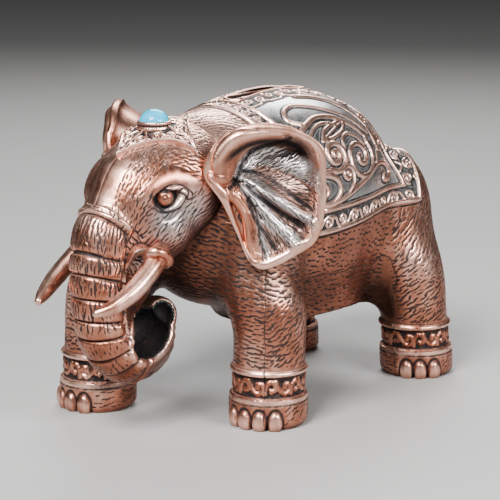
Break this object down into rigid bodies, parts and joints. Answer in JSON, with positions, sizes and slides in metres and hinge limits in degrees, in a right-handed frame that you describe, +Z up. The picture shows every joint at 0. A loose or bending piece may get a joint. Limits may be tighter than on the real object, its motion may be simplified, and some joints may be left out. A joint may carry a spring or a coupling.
{
  "type": "figural animal coin bank",
  "caption": "Hollow cast-metal elephant coin bank with saddle blanket, head plate, stone, slot in the back and pull-out belly stopper.",
  "frame": {"origin": "on the floor under the middle of the whole figure's bounding box", "axes": "+Z up, the elephant faces -X, its left side is towards -Y"},
  "size_m": [0.1593, 0.091, 0.0964],
  "materials": {
    "antique_copper": "antique copper plating over cast zinc alloy, brushed on the high spots, dark in the recesses",
    "silvered_copper": "satin silver-grey ground with polished copper relief",
    "dark_copper": "unpolished dark antique copper",
    "gloss_black": "glossy black",
    "turquoise": "polished turquoise with dark specks",
    "black_rubber": "matte black rubber"
  },
  "bodies": {
    "figure": {"flank_shell_left": "antique_copper", "flank_shell_right": "antique_copper", "chest_shell": "antique_copper", "head_shell_left": "antique_copper", "head_shell_right": "antique_copper", "ear_left": "antique_copper", "ear_right": "antique_copper", "tusk_left": "antique_copper", "tusk_right": "antique_copper", "gem_bezel": "antique_copper", "tail": "antique_copper", "back_shell": "silvered_copper", "head_plate": "silvered_copper", "belly_shell": "dark_copper", "trunk_liner": "gloss_black", "turquoise_cabochon": "turquoise"},
    "stopper": {"belly_stopper": "black_rubber"}
  },
  "joints": [
    {"name": "stopper_pull", "type": "slide", "parent": "figure", "child": "stopper", "axis": [0, 0, -1], "range_m": [0, 0.012]}
  ]
}
